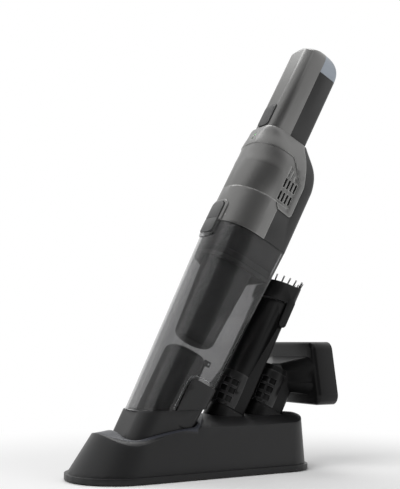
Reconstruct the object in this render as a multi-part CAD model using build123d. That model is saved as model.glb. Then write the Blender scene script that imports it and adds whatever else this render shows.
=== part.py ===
# Slim cordless hand vacuum, nozzle down in its storage stand, with two tools on pegs behind it.
# Millimetres. X runs along the stand from the dock end to the tool end, Y across it, Z up.
# The origin is the centre of the stand's foot on the floor.
import os
from math import cos, radians, sin, tan
from build123d import *

os.makedirs("parts", exist_ok=True)

# Shared angles, gaps and walls
lean = 28.0
wall = 2.2
seam = 0.15
run_gap = 0.3
pin_gap = 0.04

# Stand
foot_dock_x = -119.0
foot_end_x = 108.6
foot_half = 46.0
foot_end_half = 40.0
foot_end_radius = 24.0
top_dock_x = -95.0
top_half = 36.0
top_end_x = 106.2
top_end_half = 31.0
top_end_radius = 18.0
plate_bottom = 1.0
plate_top = 6.0
flange_step = 2.5
edge_height = 38.0
# Stations of the crowned roof: place along the stand, height of the crown and radius of its arc
crown_line = [
    (-140.0, 37.0, 62.0), (-95.0, 39.5, 62.0), (-66.0, 43.8, 62.0), (-42.0, 48.8, 62.0),
    (-20.0, 51.8, 62.0), (5.0, 52.6, 60.0), (60.0, 51.6, 57.0), (90.0, 51.7, 57.0), (140.0, 46.0, 57.0),
]
stand_wall = 2.5
cradle_rim = 2.0
cradle_back_x = 4.5
cradle_shoulder_x = -13.0
pocket_floor = 27.8
pocket_gap = 1.2
pocket_spread = 6.0
foot_pad_radius = 7.0
foot_pad_places = [(0.0, 0.0), (-85.0, 24.0), (-85.0, -24.0), (88.0, 22.0), (88.0, -22.0)]
stand_screw_places = [(-98.5, 0.0), (14.0, 31.0), (14.0, -31.0), (66.0, 30.0), (66.0, -30.0)]

# Where the vacuum's mouth rests, and the height of the nozzle block above it
mouth_x = -46.5
mouth_z = 28.0
nozzle_height = 30.0

# Heights along the vacuum's own axis, from the mouth to the end of the handle
body_base = 209.5
body_height = 66.5
shoulder_height = 42.0
handle_length = 105.5
collar_height = 38.5
grip_end = 26.0
cup_joint = 0.2
body_top = body_base + body_height
shoulder_station = body_top + shoulder_height
handle_top = shoulder_station + handle_length
seam_station = body_base + collar_height
grip_top = handle_top - grip_end

# Sections across that axis: front, rear, half width, front radius, rear radius
nozzle_sections = [(-25.0, 26.0, 16.8, 29.0, 15.0, 4.0), (70.0, 28.0, 25.7, 31.1, 18.0, 5.0)]
cup_foot = (28.2, 23.1, 28.5, 24.0, 5.0)
cup_rim = (36.5, 31.8, 34.5, 31.5, 5.0)
body_rim = (36.0, 31.8, 34.5, 31.0, 5.0)
handle_shape = (31.0, 11.8, 19.6, 10.0, 4.0)
cup_sections = [(10.0, *cup_foot), (body_base - cup_joint, *cup_rim)]
body_sections = [(body_base, *cup_rim), (body_top, *body_rim)]
# Shoulder: share of its height, then the section there; it ends in a ledge around the handle
shoulder_line = [
    (0.0, *body_rim),
    (0.19, 35.8, 30.6, 34.4, 30.5, 5.0),
    (0.43, 35.6, 27.4, 33.4, 28.5, 5.0),
    (0.57, 35.2, 24.4, 31.8, 26.0, 5.0),
    (0.71, 34.4, 20.6, 29.4, 23.0, 5.0),
    (0.86, 33.2, 16.2, 26.2, 17.0, 4.5),
    (1.0, 32.2, 12.8, 23.0, 13.0, 4.0),
]
shoulder_sections = [(body_top + share * shoulder_height, *shape) for share, *shape in shoulder_line]
handle_front_round = 12.0
handle_rear_round = 30.0
handle_side_round = 15.0
handle_crown = 33.0
body_split_x = -4.0
handle_split_x = 9.0
motor_x = 1.6
filter_x = 1.6

# Side vents: rear edge of the motor cover, its raised border, and two rows of long slots
cover_drop = 6.8
cover_rear_x = -19.8
cover_slope_x = -8.0
border_raise = 0.7
border_width = 5.8
band_height = 21.0
slot_size = (2.2, 9.6)
slot_rise = (7.0, 20.6)
slot_pitch = 4.0
slot_count = 4
slot_middle_x = -6.0

# Cup latch and power button
latch_pivot = body_base + 6.5
latch_pin_x = cup_rim[0] - 4.1
latch_pin_radius = 1.2
latch_low = latch_pivot - 20.0
latch_high = latch_pivot + 12.5
latch_half = 11.0
latch_raise = 2.0
latch_gap = 0.7
latch_groove = latch_pivot - 5.0
bezel_width = 3.2
button_station = shoulder_station + 15.6
button_size = (24.7, 19.0)
button_radius = 4.5
button_proud = 1.2
button_gap = 0.45
led_radius = 1.5
led_places = (body_top + 28.4, body_top + 32.8)

# Tools: section of the crevice tube and places of the two pegs on the deck
crevice_x = 26.8
upholstery_x = 67.4
peg_z = 46.0
tube_section = (15.5, 15.5, 15.0, 14.0, 4.0)
sleeve_section = (16.0, 15.6, 15.5, 14.0, 4.0)
tube_wall = 1.7
post_top = 11.7
tube_base = 12.0
spigot_top = 42.0
tube_top = 121.0
hood_height = 17.5
hood_slant = 11.0
brush_pivot = (-11.5, 106.0)
brush_pin_radius = 1.5
arm_thickness = 2.0


def d_face(z, front, rear, half, r_front, r_rear):
    face = Pos((front - rear) / 2, 0, z) * Rectangle(front + rear, 2 * half)
    face = fillet(face.vertices().sort_by(Axis.X)[2:], r_front)
    return fillet(face.vertices().sort_by(Axis.X)[:2], r_rear)


def d_loft(sections, inset=0.0, ruled=True):
    faces = []
    for z, front, rear, half, r_front, r_rear in sections:
        radii = [max(radius - inset, 0.6) for radius in (r_front, r_rear)]
        faces.append(d_face(z, front - inset, rear - inset, half - inset, *radii))
    return loft(faces, ruled=ruled)


def d_bar(section, z0, z1, inset=0.0):
    return d_loft([(z0, *section), (z1, *section)], inset)


def at_station(sections, z):
    low, high = sections[0], sections[-1]
    share = (z - low[0]) / (high[0] - low[0])
    return (z, *[a + share * (b - a) for a, b in zip(low[1:], high[1:])])


def part_loft(sections, z0, z1, inset=0.0):
    return d_loft([at_station(sections, z0), at_station(sections, z1)], inset)


def slab(x0, x1, z0, z1, depth=200.0):
    return Pos((x0 + x1) / 2, 0, (z0 + z1) / 2) * Box(x1 - x0, depth, z1 - z0)


def rod(x, y, z0, z1, radius):
    return Pos(x, y, (z0 + z1) / 2) * Cylinder(radius, z1 - z0)


def rod_y(x, z, y0, y1, radius):
    return Pos(x, (y0 + y1) / 2, z) * Rot(90, 0, 0) * Cylinder(radius, y1 - y0)


def rod_x(y, z, x0, x1, radius):
    return Pos((x0 + x1) / 2, y, z) * Rot(0, 90, 0) * Cylinder(radius, x1 - x0)


def tube(x, z0, z1, outer, inner):
    return rod(x, 0, z0, z1, outer) - rod(x, 0, z0, z1, inner)


def leaning(x, z):
    return Plane(origin=(x, 0, z), x_dir=(-cos(radians(lean)), 0, sin(radians(lean))),
                 z_dir=(sin(radians(lean)), 0, cos(radians(lean))))


vacuum = leaning(mouth_x, mouth_z)
crevice = leaning(crevice_x, peg_z)
upholstery = leaning(upholstery_x, peg_z)


def save(name, shape):
    shape.label = name
    export_step(shape, "parts/" + name + ".step")


# Stand: side walls lofted from the foot to the deck edge, closed by a crowned roof that rises to the tools
def stand_outline(z, dock_x, half, end_x, end_half, end_radius):
    centre = dock_x + half
    dock = ThreePointArc((centre, half), (dock_x, 0), (centre, -half))
    near = Line(dock @ 1, (end_x - end_radius, -end_half))
    slant = end_radius * (1 - cos(radians(45)))
    corner = ThreePointArc(near @ 1, (end_x - slant, -end_half + slant), (end_x, -end_half + end_radius))
    end = Line(corner @ 1, (end_x, end_half - end_radius))
    other = ThreePointArc(end @ 1, (end_x - slant, end_half - slant), (end_x - end_radius, end_half))
    far = Line(other @ 1, dock @ 0)
    return Pos(0, 0, z) * make_face([dock, near, corner, end, other, far])


def foot_face(z, inset):
    return stand_outline(z, foot_dock_x + inset, foot_half - inset, foot_end_x - inset,
                         foot_end_half - inset, foot_end_radius - inset)


def stand_walls(inset):
    rise = (58.0 - plate_top) / (edge_height - plate_top)
    base = flange_step + inset
    low = (foot_dock_x + base, foot_half - base, foot_end_x - base, foot_end_half - base,
           foot_end_radius - base)
    edge = (top_dock_x + inset, top_half - inset, top_end_x - inset, top_end_half - inset,
            top_end_radius - inset)
    high = [a + rise * (b - a) for a, b in zip(low, edge)]
    return loft([stand_outline(plate_top, *low), stand_outline(58.0, *high)], ruled=True)


def stand_roof(drop):
    faces = []
    for x, crown, arc_radius in crown_line:
        top = crown - drop
        radius = arc_radius - drop
        edge = top - radius + (radius ** 2 - 48.0 ** 2) ** 0.5
        arc = ThreePointArc((-48.0, edge), (0, top), (48.0, edge))
        rest = Polyline((48.0, edge), (48.0, 0), (-48.0, 0), (-48.0, edge))
        faces.append(Plane.YZ.offset(x) * make_face([arc, *rest.edges()]))
    return loft(faces)


stand_solid = stand_walls(0) & stand_roof(0)
stand_hollow = stand_walls(stand_wall) & stand_roof(stand_wall)


def cradle_prism(grow):
    half = top_half - cradle_rim + grow
    centre = top_dock_x + top_half
    dock = ThreePointArc((centre, half), (centre - half, 0), (centre, -half))
    near = Line(dock @ 1, (cradle_shoulder_x, -half))
    back = ThreePointArc(near @ 1, (cradle_back_x + grow, 0), (cradle_shoulder_x, half))
    far = Line(back @ 1, dock @ 0)
    return extrude(Pos(0, 0, 10) * make_face([dock, near, back, far]), 60)


# Dish for the nozzle: upright in front, leaning with the vacuum behind, so that it lifts straight out
mouth_section = at_station(nozzle_sections, 0.0)
front_section = at_station(nozzle_sections, -mouth_section[1] * tan(radians(lean)))
back_section = at_station(nozzle_sections, mouth_section[2] * tan(radians(lean)))
mouth_front = mouth_x - front_section[1] / cos(radians(lean))
mouth_back = mouth_x + back_section[2] / cos(radians(lean))
pocket_top = 60.0
pocket_lean = (pocket_top - pocket_floor) * tan(radians(lean))


def pocket_face(z, front, back, half, r_front, r_back):
    face = Pos((front + back) / 2, 0, z) * Rectangle(back - front, 2 * half)
    face = fillet(face.vertices().sort_by(Axis.X)[2:], r_back)
    return fillet(face.vertices().sort_by(Axis.X)[:2], r_front)


def pocket(grow, floor):
    low = pocket_face(floor, mouth_front - pocket_gap - grow, mouth_back + pocket_gap + grow,
                      mouth_section[3] + pocket_gap + grow, 12.0 + grow, 4.5 + grow)
    back = mouth_back + pocket_gap + pocket_lean + pocket_spread
    high = pocket_face(pocket_top, mouth_front - 5.0 - grow, back + grow, mouth_section[3] + 3.4 + grow,
                       14.0 + grow, 8.0 + grow)
    return loft([low, high], ruled=True)


cradle_wall = 2.4
cradle_under = stand_roof(stand_wall) - pocket(cradle_wall, pocket_floor - cradle_wall)
dock_cradle = (stand_solid & cradle_prism(0)) - cradle_under - pocket(0, pocket_floor)

stand_shell = stand_solid - stand_hollow - cradle_prism(seam)
for x, y in stand_screw_places:
    boss = rod(x, y, plate_top, 60, 4.0) - rod(x, y, 0, 26, 1.5)
    stand_shell += boss & stand_walls(0) & stand_roof(1.0)
for frame, section in ((crevice, tube_section), (upholstery, sleeve_section)):
    stand_shell -= frame * d_bar(section, -20, 30, -0.1)

bottom_plate = extrude(foot_face(plate_bottom, 0), plate_top - plate_bottom - 0.05)
bottom_plate -= extrude(foot_face(plate_bottom + 2.5, flange_step + 2.5), 10)
rubber_feet = []
for x, y in foot_pad_places:
    bottom_plate -= rod(x, y, 0, plate_bottom + 1.0, foot_pad_radius + 0.1)
    rubber_feet.append(rod(x, y, 0, plate_bottom + 0.95, foot_pad_radius))
stand_screws = []
for x, y in stand_screw_places:
    bottom_plate += rod(x, y, plate_bottom, plate_top - 0.05, 5.5)
    bottom_plate -= rod(x, y, 0, 3.4, 3.2) + rod(x, y, 0, 10, 1.7)
    stand_screws.append(rod(x, y, 1.7, 3.35, 3.0) + rod(x, y, 3.0, 20, 1.45))


def peg(section, inset):
    post = d_bar(section, -9.0, post_top)
    return post + d_bar(section, post_top - 1.0, spigot_top, inset)


save("stand_shell", stand_shell)
save("dock_cradle", dock_cradle)
save("bottom_plate", bottom_plate)
save("rubber_feet", Compound(children=rubber_feet))
save("stand_screws", Compound(children=stand_screws))
save("crevice_peg", crevice * peg(tube_section, tube_wall + run_gap))
save("upholstery_peg", upholstery * peg(sleeve_section, tube_wall + run_gap))


# Nozzle block between two level planes, with the suction mouth below and a floor around the duct
def level(z0, z1):
    return Pos(0, 0, (z0 + z1) / 2) * Box(400, 200, z1 - z0)


nozzle_top = mouth_z + nozzle_height
duct_section = (20.5, 12.0, 18.5, 15.0, 8.0)
duct_low = 4.0
duct_high = 90.0
duct_wall = 1.8
# Free length between the end of the duct and the foot of the filter
filter_clear = 9.0
duct_outer = d_bar(duct_section, duct_low, duct_high)
duct_outer = fillet(duct_outer.faces().sort_by(Axis.Z)[-1].edges(), 6.0)
duct_inner = d_bar(duct_section, duct_low - 20, duct_high - duct_wall, duct_wall)

nozzle = (vacuum * d_loft(nozzle_sections)) & level(mouth_z, nozzle_top)
nozzle -= (vacuum * d_loft(nozzle_sections, 2.6)) & level(mouth_z - 5, nozzle_top - 2.4)
nozzle -= vacuum * duct_inner
# Small square hatch in each side of the nozzle, near its back
for side in (-1, 1):
    nozzle -= vacuum * (Pos(-12.5, side * 30.2, 17.0) * Box(11, 2.6, 14))

inlet_duct = (vacuum * duct_outer) & level(nozzle_top + 0.1, 400)
inlet_duct -= vacuum * duct_inner
flap_window = (duct_high - 28.0, duct_high - 7.0)
flap_pin_x = -15.0
flap_pin_z = duct_high - 4.0
inlet_duct -= vacuum * (Pos(-12, 0, sum(flap_window) / 2) * Box(10, 22, flap_window[1] - flap_window[0]))
for side in (-1, 1):
    lug = Pos(-13.6, side * 15.6, flap_pin_z) * Box(6.4, 2.2, 5.0)
    lug -= rod_y(flap_pin_x, flap_pin_z, -20, 20, 1.0)
    inlet_duct += vacuum * (lug - d_bar(duct_section, 50, duct_high, 0.5))
inlet_flap = slab(-14.1, -12.5, flap_window[0] - 1.5, flap_pin_z, 27.0)
inlet_flap += rod_y(flap_pin_x, flap_pin_z, -13.5, 13.5, 2.0)
inlet_flap -= rod_y(flap_pin_x, flap_pin_z, -20, 20, 1.0 + pin_gap)
inlet_flap -= d_bar(duct_section, 50, duct_high, -run_gap)
flap_pin = rod_y(flap_pin_x, flap_pin_z, -16.6, 16.6, 0.98)

cup_shell = d_loft(cup_sections) - part_loft(cup_sections, 0, body_base + 5, wall)
# Raised lip on the front of the cup, around the lower end of the latch
lip_low = latch_low - latch_gap - bezel_width
lip_high = body_base - 1.0
lip_half = latch_half + latch_gap + bezel_width
lip_span = lip_high + 20 - lip_low
lip_plan = Pos(0, lip_low + lip_span / 2) * RectangleRounded(2 * lip_half, lip_span, 8.0)
lip_hole = Pos(0, latch_low - latch_gap + 30) * RectangleRounded(2 * (latch_half + latch_gap), 60, 5.0)
cup_lip = part_loft(cup_sections, lip_low - 5, lip_high, -1.3)
cup_lip -= part_loft(cup_sections, lip_low - 15, body_base + 5, 1.0)
cup_shell += cup_lip & (Pos(15, 0, 0) * extrude(Plane.YZ * (lip_plan - lip_hole), 40))
cup_shell = (vacuum * cup_shell) & level(nozzle_top + 0.1, 400)

# Dark back plate that wraps the foot of the cup, with rounded upper corners on both sides
plate_outline = Pos(-22.0, 38.0) * RectangleRounded(46.0, 56.0, 7.0)
nozzle_backplate = part_loft(cup_sections, 12, 70, -1.7) - part_loft(cup_sections, 10, 72, -0.1)
nozzle_backplate &= extrude(Plane.XZ * plate_outline, 60, both=True)
nozzle_backplate = (vacuum * nozzle_backplate) & level(nozzle_top + 0.2, 400)

save("nozzle", nozzle)
save("inlet_duct", inlet_duct)
save("inlet_flap", vacuum * inlet_flap)
save("flap_pin", vacuum * flap_pin)
save("cup_shell", cup_shell)
save("nozzle_backplate", nozzle_backplate)


# Motor body and handle: one hollow form, cut into the mouldings that it is assembled from
def handle_round(inset):
    front, rear, half = handle_shape[:3]
    height = handle_length + 30.0
    middle = handle_top - inset - height / 2
    side = Pos((front - rear) / 2, middle) * Rectangle(front + rear - 2 * inset, height)
    tops = side.vertices().sort_by(Axis.Y)[2:].sort_by(Axis.X)
    side = fillet(tops[1:], handle_front_round - inset)
    tops = side.vertices().filter_by(lambda v: v.X < 0 and v.Y > handle_top - 40)
    side = fillet(tops, handle_rear_round - inset)
    plan = Pos(0, middle) * Rectangle(2 * (half - inset), height)
    plan = fillet(plan.vertices().sort_by(Axis.Y)[2:], handle_side_round - inset)
    crown_z = handle_top - handle_crown
    crown = Pos((front - rear) / 2, 0, crown_z) * Sphere(handle_crown - inset)
    crown += rod((front - rear) / 2, 0, body_base, crown_z, handle_crown - inset)
    return extrude(Plane.XZ * side, 60, both=True) & extrude(Plane.YZ * plan, 60, both=True) & crown


def body_form(inset):
    form = d_loft(body_sections, inset) + d_loft(shoulder_sections, inset, ruled=False)
    return form & slab(-60, 60, body_base - 1, shoulder_station - max(inset, 0))


def handle_form(inset):
    return d_bar(handle_shape, body_top + 18, handle_top + 20, inset) & handle_round(inset)


body_walls = (body_form(0) + handle_form(0)) - body_form(wall) - handle_form(wall)


def side_face(points, round_at=(), radius=3.0):
    face = make_face(Polyline(*points, close=True))
    for x, z in round_at:
        corner = face.vertices().sort_by_distance((x, z, 0))[0]
        face = fillet(corner, radius)
    return face


# Motor cover seen from the side: a flag that hangs over the rear housing, with a raised border
cover_low = seam_station - cover_drop
cover_high = shoulder_station - 4.0
cover_slope = body_top - 0.5
cover_tip = (cover_rear_x, cover_low)
cover_points = [
    (60.0, seam_station), (0.5, seam_station), (body_split_x - 0.4, cover_low + 1.0), cover_tip,
    (cover_rear_x, cover_slope), (cover_slope_x, cover_high), (cover_slope_x, shoulder_station + 1),
    (60.0, shoulder_station + 1),
]
cover_plan = side_face(cover_points, [cover_tip])
cover_region = extrude(Plane.XZ * cover_plan, 60, both=True)
cover_clear = extrude(Plane.XZ * offset(cover_plan, seam), 60, both=True)
field_rear_x = cover_rear_x + border_width
field_high = shoulder_station - band_height
field_tip = (field_rear_x, seam_station - 0.6)
field_points = [
    (62.0, 0.0), (0.5, 0.0), (0.5, seam_station - 0.6), field_tip, (field_rear_x, body_top),
    (2.2, field_high - 0.8), (62.0, field_high),
]
field_region = extrude(Plane.XZ * side_face(field_points, [field_tip]), 60, both=True)
cover_border = (body_form(-border_raise) - body_form(1.0)) & cover_region
cover_border -= field_region

# Windows and holes in the mouldings
latch_window = slab(22, 46, body_base + 3.0, latch_high + 1.5, 2 * (latch_half + latch_gap))
button_height, button_width = button_size


def button_block(x0, x1, grow):
    plan = Pos(0, button_station) * RectangleRounded(button_width + 2 * grow, button_height + 2 * grow,
                                                     button_radius + grow)
    return Pos(x0, 0, 0) * extrude(Plane.YZ * plan, x1 - x0)


led_front = 33.8
leds = [rod_x(0, z, led_front - 4.5, led_front, led_radius) for z in led_places]
rear_face = cup_rim[1]
screw_rows = (body_base + 14.0, body_top - 6.0)
screw_half = 23.0
rear_screws = [(z, side * screw_half) for z in screw_rows for side in (-1, 1)]
screw_holes = [rod_x(y, z, -60, 2.8 - rear_face, 3.0) for z, y in rear_screws]
screw_holes += [rod_x(y, z, -60, 12.0 - rear_face, 1.6) for z, y in rear_screws]

cup_collar = body_walls & slab(body_split_x, 60, body_base, seam_station - seam)
cup_collar -= cover_clear
cup_collar -= latch_window
cup_collar -= rod_y(latch_pin_x, latch_pivot, -16, 16, latch_pin_radius + 0.02)
motor_cover = (body_walls & cover_region & slab(-60, 60, body_base, shoulder_station)) + cover_border
rear_housing = body_walls & slab(-60, body_split_x - seam, body_base, shoulder_station)
rear_housing -= cover_clear
handle_region = slab(handle_split_x, 60, shoulder_station + seam, handle_top + 10)
handle_region += slab(-60, handle_split_x + 1, grip_top + seam, handle_top + 10)
handle_shell = body_walls & handle_region
rear_grip = body_walls & slab(-60, handle_split_x - seam, shoulder_station + seam, grip_top)
for z in led_places:
    motor_cover -= rod_x(0, z, 20.0, 40.0, led_radius + 0.05)
for hole in screw_holes:
    rear_housing -= hole
handle_shell -= button_block(20, 40, button_gap)

# Slots through both sides of the motor cover, shallow grooves above them and a louvre plate behind
for k in range(slot_count):
    x = slot_middle_x + (k - (slot_count - 1) / 2) * slot_pitch
    for rise in slot_rise:
        motor_cover -= Pos(x, 0, seam_station + rise) * Box(slot_size[0], 100, slot_size[1])
    groove_low = seam_station + slot_rise[1] + slot_size[1] / 2 + 2.0
    groove_high = body_top - 2.0 + 0.95 * (x - field_rear_x)
    if groove_high > groove_low + 3:
        for side in (-1, 1):
            groove = Pos(x, side * body_rim[2], (groove_low + groove_high) / 2)
            motor_cover -= groove * Box(1.3, 1.0, groove_high - groove_low)
louvre_low = seam_station + slot_rise[0] - slot_size[1] / 2 - 1.5
louvre_high = seam_station + slot_rise[1] + slot_size[1] / 2 + 1.5
louvre_half = (slot_count * slot_pitch + 1.0) / 2


def louvre_block(grow):
    block = slab(slot_middle_x - louvre_half - grow, slot_middle_x + louvre_half + grow, louvre_low - grow,
                 louvre_high + grow, 80.0)
    return block - part_loft(body_sections, louvre_low - 8, louvre_high + 8, wall + 1.5 + grow)


near_side = Pos(0, -50, body_top) * Box(200, 100, 400)
vent_panel = part_loft(body_sections, louvre_low - 5, louvre_high + 5, wall + 0.1) & louvre_block(0)
vent_panel &= near_side
for k in range(slot_count):
    x = slot_middle_x + (k - (slot_count - 1) / 2) * slot_pitch
    for rise in slot_rise:
        vent_panel -= Pos(x, -35, seam_station + rise) * Box(1.0, 20, slot_size[1] - 1.0)
vent_other = mirror(vent_panel, Plane.XZ)

# Cup latch: a curved rocker plate in a raised bezel, on a cross pin
latch_sections = [(latch_low - 6, *cup_rim), (latch_high + 7, *cup_rim)]
latch_shape = RectangleRounded(2 * latch_half, latch_high - latch_low, 4.5)
latch_plan = Pos(0, (latch_low + latch_high) / 2) * latch_shape
latch_block = Pos(20, 0, 0) * extrude(Plane.YZ * latch_plan, 40)
cup_latch = (d_loft(latch_sections, -latch_raise) - d_loft(latch_sections, -0.6)) & latch_block
latch_mark = d_loft(latch_sections, -2.0 * latch_raise) - d_loft(latch_sections, 0.5 - latch_raise)
cup_latch -= latch_mark & slab(20, 60, latch_groove - 0.5, latch_groove + 0.5)
for side in (-1, 1):
    ear = Pos(cup_rim[0] - 2.7, side * 8.6, latch_pivot) * Box(6.8, 2.4, 5.0)
    ear -= rod_y(latch_pin_x, latch_pivot, -20, 20, latch_pin_radius + pin_gap)
    cup_latch += ear
latch_pin = rod_y(latch_pin_x, latch_pivot, -13.4, 13.4, latch_pin_radius)
bezel_top = latch_high + latch_gap + bezel_width - 1.0
bezel_plan = Pos(0, bezel_top - 30) * RectangleRounded(2 * (latch_half + latch_gap + bezel_width), 60, 7.0)
bezel_hole = Pos(0, latch_high + latch_gap - 30) * RectangleRounded(2 * (latch_half + latch_gap), 60, 5.0)
latch_bezel = part_loft(body_sections, body_base + 0.2, latch_high + 9, -1.2)
latch_bezel -= part_loft(body_sections, body_base - 1, latch_high + 10, -0.05)
latch_bezel &= Pos(15, 0, 0) * extrude(Plane.YZ * (bezel_plan - bezel_hole), 40)
leaf_x = cup_rim[0] - wall - 1.2
latch_spring = slab(leaf_x, leaf_x + 0.5, latch_pivot + 9.0, latch_high + 12.0, 8.0)
latch_spring += Pos(leaf_x + 1.0, 0, latch_pivot + 10.4) * Rot(0, -30, 0) * Box(0.4, 8.0, 3.4)

# Power button, curved as the handle is, with a stop flange inside it
button_low = button_station - button_height / 2
button_high = button_station + button_height / 2
button_skin = d_bar(handle_shape, button_low - 5, button_high + 5, -button_proud)
power_button = button_block(25.2, 40, 0) & button_skin
power_button += button_block(25.2, 26.6, 1.2)
board_x = (15.0, 16.6)
circuit_board = slab(*board_x, button_low - 0.8, button_high + 2.0, 2 * (handle_shape[2] - wall - seam))
power_switch = slab(board_x[1] + 0.05, board_x[1] + 4.0, button_station - 5, button_station + 5, 10.0)
power_switch += rod_x(0, button_station, board_x[1] + 3.4, board_x[1] + 6.2, 1.8)
button_spring = slab(22.95, 23.25, button_station - 8, button_station + 8, 5.0)
button_spring += slab(board_x[1] + 0.1, 23.2, button_station - 8.4, button_station - 7.9, 5.0)
cell_radius = 9.0
cell_x = (handle_shape[0] - handle_shape[1]) / 2
cell_low = button_high + 3.0
battery_cells = []
for side in (-1, 1):
    battery_cells.append(rod(cell_x + side * (cell_radius + 0.3), 0, cell_low, grip_top - 1.0, cell_radius))

# Fan and motor on the body's axis
fan_low = body_base + 14.5
mount_low = fan_low + 28.0
can_low = mount_low + 5.2
can_high = can_low + 43.8
motor_can = rod(motor_x, 0, can_low, can_high, 17.5) - rod(motor_x, 0, can_low - 5, can_high + 5, 3.0)
motor_can = chamfer(motor_can.edges().filter_by(GeomType.CIRCLE).sort_by(Axis.Z)[-1], 1.0)
motor_can -= rod(motor_x, 0, can_low, can_low + 4.1, 5.05) + rod(motor_x, 0, can_high - 4.1, can_high, 5.05)
bearing_places = (can_low + 0.1, can_high - 4.0)
motor_bearings = [tube(motor_x, low, low + 3.9, 5.0, 1.5 + pin_gap) for low in bearing_places]
motor_shaft = rod(motor_x, 0, fan_low + 3.0, can_high + 3.0, 1.5)
motor_mount = part_loft(body_sections, mount_low, mount_low + 5.0, wall + 0.15)
motor_mount -= rod(motor_x, 0, mount_low - 10, mount_low + 10, 6.0) + louvre_block(run_gap)
for k in range(8):
    turn = Rot(0, 0, 45 * k + 22.5)
    motor_mount -= Pos(motor_x, 0, mount_low) * turn * Pos(23.0, 0, 0) * Cylinder(5.0, 20)
impeller_shroud = rod(motor_x, 0, fan_low, mount_low - 0.1, 29.0)
impeller_shroud -= rod(motor_x, 0, fan_low + 1.6, mount_low + 5, 27.6)
impeller_shroud -= rod(motor_x, 0, fan_low - 5, fan_low + 5, 11.0)
for k in range(10):
    impeller_shroud -= Pos(motor_x, 0, mount_low - 4.5) * Rot(0, 0, 36 * k) * Pos(28.0, 0, 0) * Box(8, 9, 6)
impeller = rod(motor_x, 0, fan_low + 18.0, fan_low + 19.6, 26.0)
impeller += rod(motor_x, 0, fan_low + 5.0, fan_low + 19.6, 6.0)
blade_ring = CenterArc((0, 0), 16.0, 20.0, 115.0)
blade = extrude(make_face([*offset(blade_ring, 0.6).edges()]), 11.0)
for k in range(8):
    impeller += Pos(motor_x, 0, fan_low + 7.1) * Rot(0, 0, 45 * k) * Pos(8.5, -12.5, 0) * blade
impeller &= tube(motor_x, fan_low + 1, fan_low + 26, 26.0, 1.5)

# Plug that closes the cup and carries the seal and the filter
plug_low = body_base - 33.5
seal_low = plug_low + 4.0
seal_high = seal_low + 6.0
plug = part_loft(cup_sections, plug_low, body_base + 0.4, wall + 0.8)
plug += part_loft(body_sections, body_base + 0.15, body_base + 2.8, wall + 0.15)
plug -= part_loft(cup_sections, plug_low - 6, body_base + 1.2, wall + 3.4)
seal_groove = part_loft(cup_sections, seal_low - 0.1, seal_high + 0.1, wall + 0.2)
plug -= seal_groove - part_loft(cup_sections, seal_low - 0.1, seal_high + 0.1, wall + 1.8)
bulkhead = plug - rod(motor_x, 0, body_base - 5, body_base + 25, 13.0)
cup_seal = part_loft(cup_sections, seal_low, seal_high, wall + run_gap)
cup_seal -= part_loft(cup_sections, seal_low - 10, seal_high + 4, wall + 1.75)
filter_low = duct_high + filter_clear
filter_high = body_base + 1.0
filter_cone = [Pos(filter_x, 0, filter_high) * Circle(26.5), Pos(filter_x, 0, filter_low) * Circle(18.5)]
filter_form = fillet(loft(filter_cone).edges().sort_by(Axis.Z)[0], 8.0)
hollow_cone = [Pos(filter_x, 0, filter_high + 4.2) * Circle(25.3)]
hollow_cone.append(Pos(filter_x, 0, filter_low + 2.0) * Circle(16.6))
filter_shroud = filter_form - fillet(loft(hollow_cone).edges().sort_by(Axis.Z)[0], 6.3)
pleat_count = 20
pleat_points = []
for k in range(2 * pleat_count):
    turn = radians(180.0 * k / pleat_count)
    reach = 16.0 if k % 2 == 0 else 12.6
    pleat_points.append((filter_x + reach * cos(turn), reach * sin(turn)))
pleat_face = Pos(0, 0, filter_low + 8) * make_face(Polyline(*pleat_points, close=True))
filter_pleats = extrude(pleat_face, filter_high - filter_low - 12.3)
filter_pleats -= rod(filter_x, 0, filter_low, filter_high + 10, 10.0)
filter_pleats += tube(filter_x, filter_high - 4.8, filter_high - 1.8, 24.1, 10.0)
filter_pleats += rod(filter_x, 0, filter_low + 6, filter_low + 9.5, 14.0)

housing_screws = []
for z, y in rear_screws:
    screw = rod_x(y, z, 1.1 - rear_face, 2.7 - rear_face, 2.8)
    housing_screws.append(screw + rod_x(y, z, 2.4 - rear_face, 11.4 - rear_face, 1.5))
    boss = rod_x(y, z, 2.0 - rear_face, 8.8 - rear_face, 4.4) - rod_x(y, z, -60, 2.8 - rear_face, 3.0)
    rear_housing += boss - rod_x(y, z, -60, -10, 1.55)

for name, shape in [
    ("cup_collar", cup_collar), ("motor_cover", motor_cover), ("rear_housing", rear_housing),
    ("handle_shell", handle_shell), ("rear_grip", rear_grip), ("vent_near", vent_panel),
    ("vent_far", vent_other), ("cup_latch", cup_latch), ("latch_pin", latch_pin),
    ("latch_bezel", latch_bezel), ("latch_spring", latch_spring), ("power_button", power_button),
    ("button_spring", button_spring), ("circuit_board", circuit_board), ("power_switch", power_switch),
    ("motor_can", motor_can),
    ("motor_shaft", motor_shaft), ("motor_mount", motor_mount), ("impeller_shroud", impeller_shroud),
    ("impeller", impeller), ("bulkhead", bulkhead), ("cup_seal", cup_seal),
    ("filter_shroud", filter_shroud), ("filter_pleats", filter_pleats),
]:
    save(name, vacuum * shape)
for name, group in [
    ("led_lenses", leds), ("battery_cells", battery_cells), ("motor_bearings", motor_bearings),
    ("housing_screws", housing_screws),
]:
    save(name, Compound(children=[vacuum * piece for piece in group]))


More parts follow.
